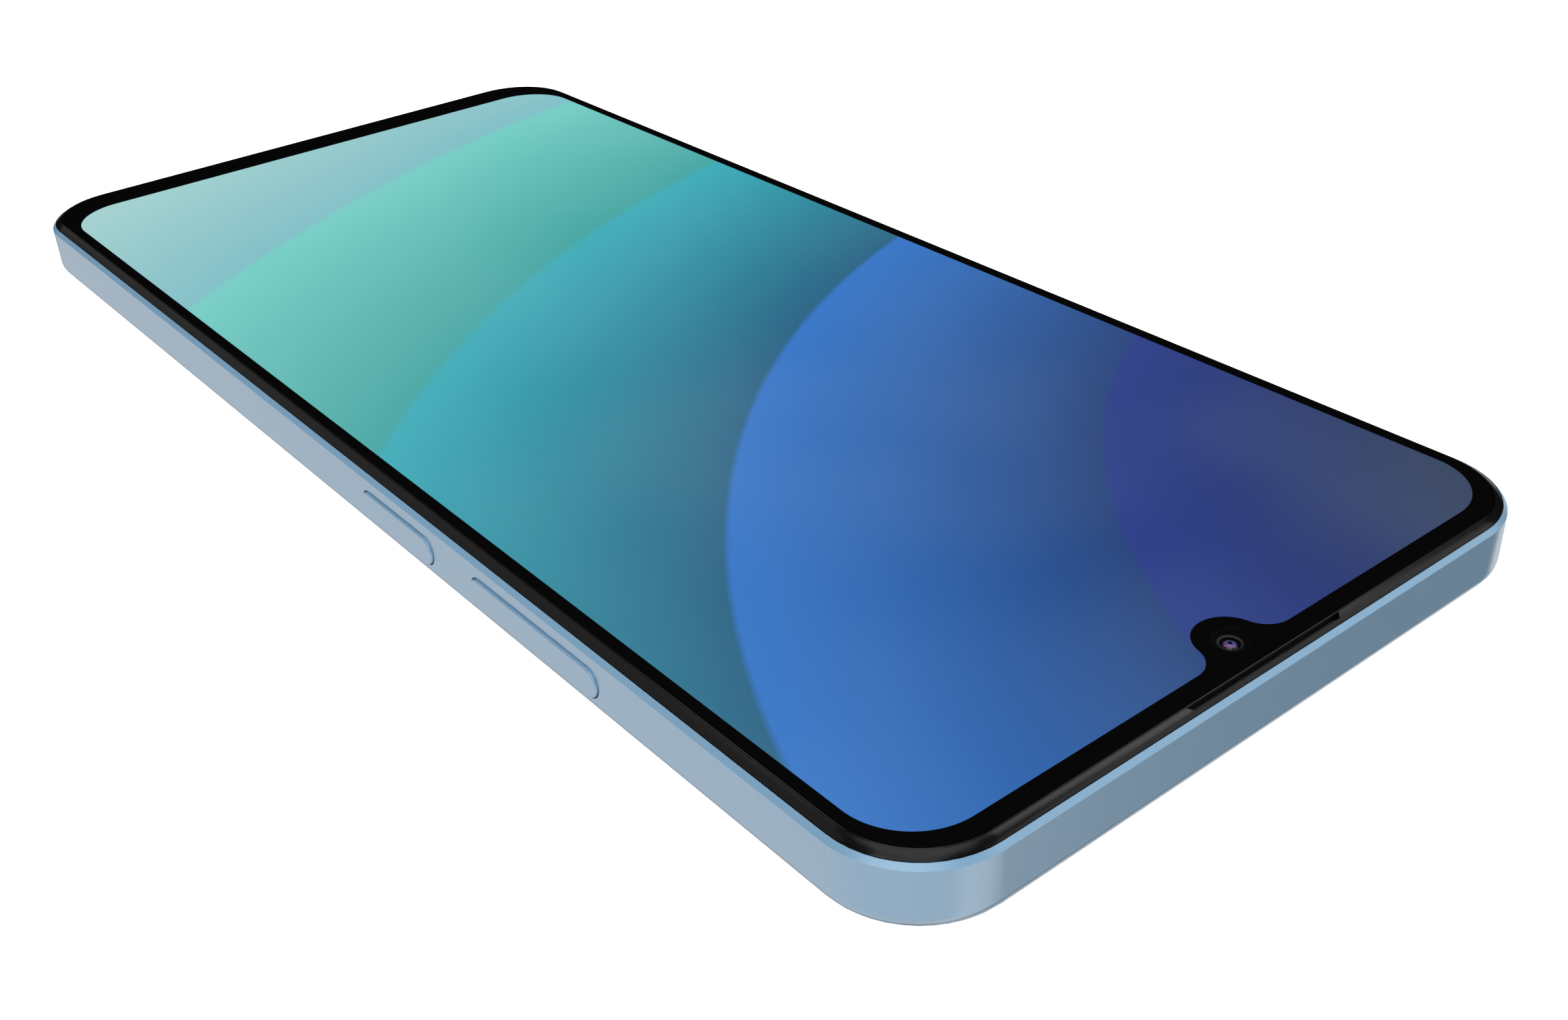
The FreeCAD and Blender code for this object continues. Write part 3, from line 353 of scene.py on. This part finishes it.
def screen_picture():
    """The lit picture, in a material that glows and has the cover glass's gloss."""
    graph = surface("lit_picture", base_color=rgb(3, 3, 4), roughness=0.06, ior=1.5)
    x, y, _ = graph.place()
    across = x - RINGS_CENTRE[0]
    along = y - RINGS_CENTRE[1]
    distance = (across * across + along * along).root()
    rings = graph.ramp(
        (distance - RINGS_START) * (1 / RINGS_REACH),
        [
            (0.000, rgb(10, 18, 60)),
            (0.200, rgb(22, 42, 132)),
            (0.202, rgb(14, 52, 118)),
            (0.400, rgb(36, 112, 198)),
            (0.402, rgb(18, 92, 128)),
            (0.600, rgb(52, 172, 184)),
            (0.602, rgb(62, 164, 160)),
            (0.800, rgb(116, 206, 196)),
            (0.802, rgb(128, 190, 198)),
            (1.000, rgb(168, 212, 208)),
        ],
    )
    cloud = graph.noise(30.0, 1.0)
    picture = graph.mix(cloud * 0.12, rings, rgb(190, 220, 230))
    graph.feed(graph.shader.inputs["Emission Color"], picture)
    graph.shader.inputs["Emission Strength"].default_value = 1.0
    return graph.material


# ---- meshes ---------------------------------------------------------------------------------------


def new_piece(name, vertices, faces, materials, body="root", slot=None):
    """A piece from points in millimetres. A face is (point numbers, material number, smooth)."""
    mesh = bpy.data.meshes.new(name)
    mesh.from_pydata([Vector(v) * MM for v in vertices], [], [f[0] for f in faces])
    for polygon, (_, index, smooth) in zip(mesh.polygons, faces):
        polygon.material_index = index
        polygon.use_smooth = smooth
    for material in materials:
        mesh.materials.append(material)
    weld = bmesh.new()
    weld.from_mesh(mesh)
    bmesh.ops.remove_doubles(weld, verts=weld.verts, dist=1e-7)
    bmesh.ops.recalc_face_normals(weld, faces=weld.faces)
    weld.to_mesh(mesh)
    weld.free()
    piece = bpy.data.objects.new(name, mesh)
    bpy.context.scene.collection.objects.link(piece)
    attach(piece, body)
    return piece


def rounded_outline(half_x, low_y, high_y, corner, steps):
    """The points of a rectangle with rounded corners, counter-clockwise from the right side."""
    points = []
    for turn, (sx, cy) in enumerate(((1, high_y), (-1, high_y), (-1, low_y), (1, low_y))):
        centre = (sx * (half_x - corner), cy - corner if cy == high_y else cy + corner)
        for i in range(steps + 1):
            angle = math.radians(90 * (turn + i / steps))
            points.append((centre[0] + corner * math.cos(angle), centre[1] + corner * math.sin(angle)))
    return points


def lit_outline(half_x, low_y, high_y):
    """The lit area: rounded corners, and a drop-shaped notch round the front camera."""
    steps = 24
    points = rounded_outline(half_x, low_y, high_y, SCREEN_CORNER, steps)
    reach = NOTCH_R + NOTCH_FILLET
    fillet_y = high_y - NOTCH_FILLET
    fillet_x = math.sqrt(reach**2 - (EYE.y - fillet_y) ** 2)
    lean = math.atan2(fillet_y - EYE.y, fillet_x)
    right = []
    for i in range(steps + 1):
        angle = math.pi / 2 + (math.pi / 2 + lean) * i / steps
        right.append((fillet_x + NOTCH_FILLET * math.cos(angle), fillet_y + NOTCH_FILLET * math.sin(angle)))
    belly = []
    sweep = math.pi + 2 * lean
    for i in range(1, 2 * steps):
        angle = lean - sweep * i / (2 * steps)
        belly.append((NOTCH_R * math.cos(angle), EYE.y + NOTCH_R * math.sin(angle)))
    left = [(-px, py) for px, py in reversed(right)]
    corner_end = steps + 1
    return points[:corner_end] + right + belly + left + points[corner_end:]


def inside(point, outline):
    """True if a point is inside a closed outline."""
    px, py = point
    odd = False
    for (ax, ay), (bx, by) in zip(outline, outline[1:] + outline[:1]):
        if (ay > py) != (by > py) and px < (bx - ax) * (py - ay) / (by - ay) + ax:
            odd = not odd
    return odd


def circle(radius, centre, steps):
    turns = [2 * math.pi * i / steps for i in range(steps)]
    return [(centre[0] + radius * math.cos(t), centre[1] + radius * math.sin(t)) for t in turns]


def front_glass(picture, border):
    """The cover glass: black ink round the lit picture, a soft edge, and a hole for the camera's view."""
    steps = 32
    low_z = low_mm("cover_glass").z
    corner = CORNER - GLASS_INSET
    bevel = 4
    rings = [(0.0, low_z)]
    for i in range(bevel + 1):
        angle = math.radians(90 * i / bevel)
        rings.append((GLASS_EDGE * (1 - math.cos(angle)), FRONT - GLASS_EDGE * (1 - math.sin(angle))))
    vertices = []
    faces = []
    for inset, z in rings:
        half_x, half_y = GLASS_HALF_X - inset, GLASS_HALF_Y - inset
        outline = rounded_outline(half_x, -half_y, half_y, corner - inset, steps)
        vertices += [(px, py, z) for px, py in outline]
    count = len(outline)
    for ring in range(len(rings) - 1):
        for i in range(count):
            j = (i + 1) % count
            low = ring * count
            faces.append(((low + i, low + j, low + count + j, low + count + i), 1, True))
    lit = lit_outline(
        GLASS_HALF_X - MARGIN_SIDE,
        MARGIN_BOTTOM - GLASS_HALF_Y,
        GLASS_HALF_Y - MARGIN_TOP,
    )
    hole = circle(CAMERA_HOLE_R, (EYE.x, EYE.y), 64)
    for z, bottom in ((FRONT, False), (low_z, True)):
        edge = outline if not bottom else [v[:2] for v in vertices[:count]]
        loops = [edge, hole] if bottom else [edge, lit, hole]
        flat, start, ends = [], 0, []
        for loop in loops:
            flat += [Vector(p) for p in loop]
            ends += [(start + i, start + (i + 1) % len(loop)) for i in range(len(loop))]
            start += len(loop)
        points, _, triangles, _, _, _ = delaunay_2d_cdt(flat, ends, [], 1, 1e-6)
        base = len(vertices)
        vertices += [(p.x, p.y, z) for p in points]
        for triangle in triangles:
            middle = [sum(points[i][axis] for i in triangle) / 3 for axis in (0, 1)]
            if inside(middle, hole):
                continue
            index = 0 if not bottom and inside(middle, lit) else 1
            faces.append((tuple(base + i for i in triangle), index, False))
    base = len(vertices)
    vertices += [(px, py, FRONT) for px, py in hole] + [(px, py, low_z) for px, py in hole]
    count = len(hole)
    for i in range(count):
        j = (i + 1) % count
        faces.append(((base + i, base + j, base + count + j, base + count + i), 1, True))
    piece = new_piece("front_glass", vertices, faces, [picture, border], slot="cover_glass")
    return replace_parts(piece, "cover_glass")


def turned(name, profile, at, materials, **keywords):
    """A round piece from (radius, height, material number) points, outwards or inwards from its axis."""
    steps = 64
    vertices = []
    faces = []
    for radius, height, _ in profile:
        for px, py in circle(max(radius, 0.0), (at[0], at[1]), steps):
            vertices.append((px, py, at[2] + height))
    for ring, (_, _, index) in enumerate(profile[:-1]):
        for i in range(steps):
            j = (i + 1) % steps
            low = ring * steps
            faces.append(((low + i, low + j, low + steps + j, low + steps + i), index, True))
    piece = new_piece(name, vertices, faces, materials, **keywords)
    piece.data.set_sharp_from_angle(angle=math.radians(35))
    return piece


# ---- the stage ------------------------------------------------------------------------------------

# how brightly the sky lights matt surfaces, next to the lamps
FILL = 0.06


def make_floor():
    """A plain white floor, tipped so that the phone rests on its camera rings and the end of its back."""
    ring_y = low_mm("depth_camera_ring").y
    tip = math.atan2(low_mm("rear_cover").z, ring_y - low_mm("rear_cover").y - BACK_EDGE)
    graph = surface("floor", base_color=rgb(240, 240, 240), roughness=0.8)
    graph.shader.inputs["Emission Color"].default_value = (1, 1, 1, 1)
    graph.shader.inputs["Emission Strength"].default_value = 1.0
    half = 4000.0
    plan = ((-half, -half), (half, -half), (half, half), (-half, half))
    corners = [Vector((x, y, 0)) * MM for x, y in plan]
    mesh = bpy.data.meshes.new("floor")
    mesh.from_pydata(corners, [], [(0, 1, 2, 3)])
    mesh.materials.append(graph.material)
    floor = bpy.data.objects.new("floor", mesh)
    bpy.context.scene.collection.objects.link(floor)
    floor.location = Vector((0, ring_y, 0)) * MM
    floor.rotation_euler = (-tip, 0, 0)
    floor.visible_diffuse = False
    floor.visible_glossy = False
    floor.visible_transmission = False
    floor.visible_shadow = False


def make_lamp(name, turn, lift, strength, spread=50):
    """A broad soft light from the sky, for matt surfaces: gloss sees the studio's panels instead."""
    lamp = bpy.data.lights.new(name, "SUN")
    lamp.energy = strength
    lamp.angle = math.radians(spread)
    holder = bpy.data.objects.new(name, lamp)
    bpy.context.scene.collection.objects.link(holder)
    turn, lift = math.radians(turn), math.radians(lift)
    towards = Vector((math.cos(lift) * math.cos(turn), math.cos(lift) * math.sin(turn), math.sin(lift)))
    holder.rotation_euler = towards.to_track_quat("Z", "Y").to_euler()
    holder.visible_glossy = False
    holder.visible_transmission = False


def make_world():
    """A studio of soft panels round the phone, behind a white backdrop."""
    world = bpy.data.worlds.new("studio")
    bpy.context.scene.world = world
    world.cycles.sampling_method = "NONE"
    graph = Graph(world)
    split = graph.node("ShaderNodeSeparateXYZ")
    graph.feed(split.inputs[0], graph.node("ShaderNodeTexCoord").outputs["Generated"])
    x, y, z = [Value(graph, axis) for axis in split.outputs]
    azimuth = graph.math("ARCTAN2", y, x) * (180 / math.pi)
    elevation = graph.math("ARCSINE", z) * (180 / math.pi)

    def panel(middle, half_width, height, half_height, soft=4.0):
        """1 inside a soft-edged rectangle of the sky, in degrees, and 0 outside it."""
        across = graph.math("WRAP", azimuth - middle, 180.0, -180.0).size()
        return across.step(half_width + soft, half_width) * (elevation - height).size().step(
            half_height + soft, half_height
        )

    brightest = 2.0
    stops = (
        (-180, 1.1),
        (-160, 0.6),
        (-142, 0.3),
        (-104, 0.3),
        (-78, 0.7),
        (-50, 1.2),
        (84, 1.4),
        (88, 2.0),
        (116, 1.7),
        (137, 0.8),
        (143, 0.2),
        (152, 0.1),
        (163, 0.1),
        (172, 1.1),
        (180, 1.1),
    )
    greys = [((turn + 180) / 360, [level / brightest] * 3 + [1.0]) for turn, level in stops]
    round_about = Value(graph, graph.ramp(azimuth.line(-180, 180, 0, 1), greys))
    sides = round_about * elevation.step(0, -18) * brightest
    mirrored = (
        sides
        + elevation.step(56, 68) * 0.9
        + panel(35, 38, 44, 14)
        + panel(-62, 24, 34, 14) * 0.22
        + panel(136, 22, 28, 14) * 0.6
        + panel(162, 12, 50, 7) * 1.5
        + panel(-82, 14, 53, 4) * 1.5
    )
    soft = Value(graph, graph.node("ShaderNodeLightPath").outputs["Is Diffuse Ray"])
    strength = mirrored * (1.0 - soft) + soft * FILL
    light = graph.node("ShaderNodeBackground")
    light.inputs["Color"].default_value = (1, 1, 1, 1)
    graph.feed(light.inputs["Strength"], strength)
    backdrop = graph.node("ShaderNodeBackground")
    backdrop.inputs["Color"].default_value = (1, 1, 1, 1)
    choose = graph.node("ShaderNodeMixShader")
    graph.feed(choose.inputs["Fac"], graph.node("ShaderNodeLightPath").outputs["Is Camera Ray"])
    graph.feed(choose.inputs[1], light.outputs[0])
    graph.feed(choose.inputs[2], backdrop.outputs[0])
    graph.feed(graph.tree.nodes["World Output"].inputs["Surface"], choose.outputs[0])


# ---- finishes for the CAD nodes -------------------------------------------------------------------


def paint(material, *names):
    for name in names:
        slots = nodes[name].data.materials
        slots.clear()
        slots.append(material)


def smoothed(*names):
    """Joins the faces of these nodes again and shades each rounded wall as one curve."""
    for name in names:
        nodes[name].modifiers.new("weld", "WELD").merge_threshold = 1e-6
        split = nodes[name].modifiers.new("edges", "EDGE_SPLIT")
        split.split_angle = math.radians(22)
        nodes[name].modifiers.new("normals", "WEIGHTED_NORMAL").weight = 100


def cover_finish():
    """Pale blue satin plastic with a fine grain and a faint pearl."""
    graph = surface("cover_blue", ior=1.5, specular_ior_level=1.0, coat_weight=0.5, coat_roughness=0.25)
    graph.speckled(rgb(134, 175, 206), 0.012, 0.8)
    graph.roughened(0.225, 0.262, 2.0)
    return graph.material


def contact_tongue():
    """Black plastic with a row of gold contacts across it."""
    graph = surface("contact_tongue", roughness=0.4)
    x, y, _ = graph.place()
    pitch = 0.5
    strips = graph.math("COSINE", x * (2 * math.pi / pitch)).step(0.1, 0.3) * x.size().step(2.85, 2.75)
    gold = strips * (y - low_mm("usb_tongue").y).step(0.1, 0.2)
    grain = graph.noise(0.3)
    black = graph.mix(grain, rgb(20, 20, 21), rgb(28, 28, 30))
    graph.feed(graph.shader.inputs["Base Color"], graph.mix(gold, black, rgb(214, 176, 96)))
    graph.feed(graph.shader.inputs["Metallic"], gold)
    graph.bump(gold, 0.02)
    return graph.material


def make_materials():
    made = {
        "cover": cover_finish(),
        "bezel": moulded("bezel_black", rgb(16, 16, 16), (0.14, 0.17), 0.1, 0.0),
        "border": moulded("ink_under_glass", rgb(8, 8, 9), (0.03, 0.05), 2.0, 0.0, 0.05, ior=1.5),
        "black": moulded("moulded_black", rgb(26, 26, 27)),
        "chip": moulded("chip_black", rgb(30, 30, 31), (0.5, 0.6), 0.2, 0.004),
        # near-black matt, for the front camera's dark well and for the strip of painted shade in the rim's
        # seam
        "black_well_and_seam_shade": moulded("black_well_and_painted_seam_shade", rgb(5, 5, 5), (0.9, 1.0), 0.2, 0.002, specular_ior_level=0.1),
        "rubber": moulded("rubber_black", rgb(20, 20, 20), (0.7, 0.8), 0.2, 0.006),
        "steel": sheet_metal("sheet_steel", rgb(190, 192, 194)),
        "screw": sheet_metal("screw_steel", rgb(120, 120, 124), (0.25, 0.4), (1, 1, 1), 0.3),
        "plate": sheet_metal("plate_metal", rgb(200, 202, 206), (0.35, 0.5), (1, 8, 1), 0.8),
        "ring": sheet_metal("ring_metal", rgb(150, 178, 206), (0.18, 0.26), (1, 1, 1), 0.15, 0.0006),
        "foil": moulded("battery_foil", rgb(58, 58, 62), (0.32, 0.45), 3.0, 0.02, 0.08, metallic=0.6),
        "graphite": moulded("graphite", rgb(50, 50, 53), (0.5, 0.62), 0.4, 0.004, 0.1, metallic=0.3),
        "white": moulded("white_sheet", rgb(232, 234, 235), (0.45, 0.55), 1.0, 0.001, 0.01),
        "panel": moulded("panel_glass", rgb(40, 42, 48), (0.05, 0.08), 1.0, 0.0, 0.03),
        "tongue": contact_tongue(),
        "amber": film("flex_amber", rgb(150, 92, 30), rgb(196, 138, 62), 0.5),
        "board": circuit_board("board_green"),
        "mesh": woven_mesh("mesh_grey", rgb(120, 120, 122), 0.22),
        "led": moulded("led_yellow", rgb(236, 206, 60), (0.3, 0.4), 0.2, 0.002),
        "clear": clear("clear_resin", rgb(244, 246, 250)),
        "window": clear("window_glass", rgb(250, 251, 255), 0.0, 1.5),
    }
    return made


def finish_nodes(made):
    paint(made["cover"], "rear_cover", "power_button", "volume_rocker", "sim_tray")
    paint(made["bezel"], "front_bezel")
    paint(made["border"], "border_mask")
    paint(made["clear"], "clear_glue", "flash_lens")
    paint(made["panel"], "display_panel")
    paint(made["white"], "backlight_unit", "battery_adhesive")
    paint(made["plate"], "midframe_plate")
    paint(made["graphite"], "graphite_sheet")
    paint(made["foil"], "battery_cell")
    paint(made["board"], "main_board", "sub_board")
    paint(made["screw"], "bracket_screws")
    paint(made["rubber"], "antenna_cable", "microphone_gasket", "display_tape")
    paint(made["ring"], "main_camera_ring", "depth_camera_ring")
    paint(made["window"], "main_camera_window", "depth_camera_window")
    paint(made["mesh"], "earpiece_mesh", "loudspeaker_mesh")
    paint(made["led"], "flash_led")
    paint(made["tongue"], "usb_tongue")
    paint(made["amber"], "display_flex", "battery_flex", "board_link_flex", "side_key_flex")
    paint(made["chip"], "processor_chip", "radio_chip", "memory_chip", "proximity_sensor")
    paint(
        made["steel"],
        "backlight_tray",
        "processor_shield",
        "radio_shield",
        "memory_shield",
        "vibration_motor",
        "microphone",
        "usb_shell",
        "sim_reader",
    )
    paint(
        made["black"],
        "upper_bracket",
        "lower_bracket",
        "main_camera_module",
        "depth_camera_module",
        "front_camera_module",
        "earpiece_receiver",
        "loudspeaker_box",
        "headphone_jack",
        "power_switch",
        "volume_switches",
    )


# ---- details --------------------------------------------------------------------------------------


def lens_glass(name, middle, rim):
    """A coated lens: dark in the middle, with a coloured reflection towards its rim."""
    graph = surface(name, roughness=0.03, ior=1.6, coat_weight=1.0, coat_roughness=0.02)
    facing = graph.node("ShaderNodeLayerWeight")
    facing.inputs["Blend"].default_value = 0.35
    share = Value(graph, facing.outputs["Facing"])
    haze = graph.noise(0.4, 1.0)
    graph.feed(graph.shader.inputs["Base Color"], graph.mix(share * 0.8 + haze * 0.2, middle, rim))
    return graph.material


def eye_lens():
    """The front camera's domed lens: a violet coating round a dark pupil. Across the lens the coating's
    colour shifts from blue-violet to pink, a painted reflection, and a pale ring round the pupil is a
    painted highlight.
    """
    graph = surface("eye_lens", roughness=0.12, ior=1.6, coat_weight=0.6, coat_roughness=0.05)
    x, y, _ = graph.place()
    away = graph.math("SQRT", (x - EYE.x) * (x - EYE.x) + (y - EYE.y) * (y - EYE.y)) / EYE_LENS_R
    # the coating's own violet, shifted from blue-violet to pink from one side to the other as a painted
    # reflection
    coating_and_painted_reflection = graph.mix((x - EYE.x).line(-0.3, 0.3, 0.0, 1.0), rgb(84, 78, 140), rgb(118, 72, 122))
    edged = graph.mix(away.step(0.55, 0.92), coating_and_painted_reflection, rgb(28, 10, 44))
    # a pale ring round the pupil: a painted highlight
    with_painted_highlight_ring = graph.mix(away.step(0.50, 0.36), edged, rgb(88, 106, 146))
    pupil = graph.mix(away.step(0.36, 0.26), with_painted_highlight_ring, rgb(6, 6, 30))
    haze = graph.noise(0.2, 1.0)
    graph.feed(graph.shader.inputs["Base Color"], graph.mix(haze * 0.3, pupil, rgb(52, 38, 86)))
    return graph.material


def front_eye(made):
    """What the hole in the ink shows: a grey ring, a dark well and a small domed lens."""
    grey = moulded("eye_ring", rgb(30, 29, 28), (0.45, 0.55), 0.1, 0.0)
    seat = -0.60
    profile = [
        (CAMERA_HOLE_R, 0.0, 1),
        (CAMERA_HOLE_R, -0.02, 1),
        (1.06, -0.35, 0),
        (0.84, -0.40, 1),
        (EYE_LENS_R + 0.04, seat, 1),
    ]
    steps = 8
    half = math.radians(70)
    for i in range(steps + 1):
        lean = half * (1 - i / steps)
        height = (math.cos(lean) - math.cos(half)) / (1 - math.cos(half)) * EYE_LENS_RISE + seat
        profile.append((EYE_LENS_R * math.sin(lean) / math.sin(half), height, 2))
    at = (EYE.x, EYE.y, FRONT)
    return turned("front_camera_view", profile, at, [grey, made["black_well_and_seam_shade"], eye_lens()], slot="lens_glass")


def rim_seam_shade(material):
    """A thin near-black matt strip in the gap between the rim and the cover: painted shade, standing in for
    the seam's shadow.
    """
    steps = 24
    outer = high_mm("front_bezel")
    wide = 0.075
    apart = 0.003
    vertices = []
    faces = []
    for inset, z in ((0.0, SEAM_SHADE_LOW), (0.0, SEAM_SHADE_HIGH), (-wide, SEAM_SHADE_HIGH), (-wide, SEAM_SHADE_LOW)):
        half_x, half_y = outer.x + apart - inset, outer.y + apart - inset
        corner = CORNER - GLASS_INSET + half_x - GLASS_HALF_X
        vertices += [(px, py, z) for px, py in rounded_outline(half_x, -half_y, half_y, corner, steps)]
    count = len(vertices) // 4
    for ring in range(4):
        for i in range(count):
            j = (i + 1) % count
            low, high = ring * count, (ring + 1) % 4 * count
            faces.append(((low + i, low + j, high + j, high + i), 0, False))
    new_piece("rim_seam_shade", vertices, faces, [material], slot="black_tape")


def rear_optics(made):
    """Under each rear window: an ink ring with the lens in its middle."""
    deep = lens_glass("rear_lens", rgb(10, 12, 26), rgb(60, 70, 130))
    paint(deep, "main_camera_lens", "depth_camera_lens", "front_camera_lens")
    for kind, clear_r in (("main", 3.4), ("depth", 2.4)):
        window_low = low_mm(kind + "_camera_window")
        window_high = high_mm(kind + "_camera_window")
        centre = centre_mm(kind + "_camera_window")
        outer = (window_high.x - window_low.x) / 2
        profile = [
            (outer, 0.0, 0),
            (clear_r, 0.0, 0),
            (clear_r, 0.02, 0),
            (outer, 0.02, 0),
            (outer, 0.0, 0),
        ]
        at = (centre.x, centre.y, window_high.z - 0.03)
        turned(kind + "_camera_ink", profile, at, [made["border"]], slot="ink_black")


make_camera()
make_floor()
make_world()
make_lamp("key_light", 28, 32, 2.4)
make_lamp("top_light", 158, 57, 1.9)
make_lamp("fill_light", -135, 8, 1.1)
make_lamp("low_light", -150, -55, 1.6)
materials = make_materials()
finish_nodes(materials)
smoothed("rear_cover", "front_bezel", "power_button", "volume_rocker")
front_glass(screen_picture(), materials["border"])
# a near-black strip in the seam round the rim: painted shade for the seam's shadow
rim_seam_shade(materials["black_well_and_seam_shade"])
front_eye(materials)
rear_optics(materials)

bpy.context.scene.view_settings.view_transform = "Standard"
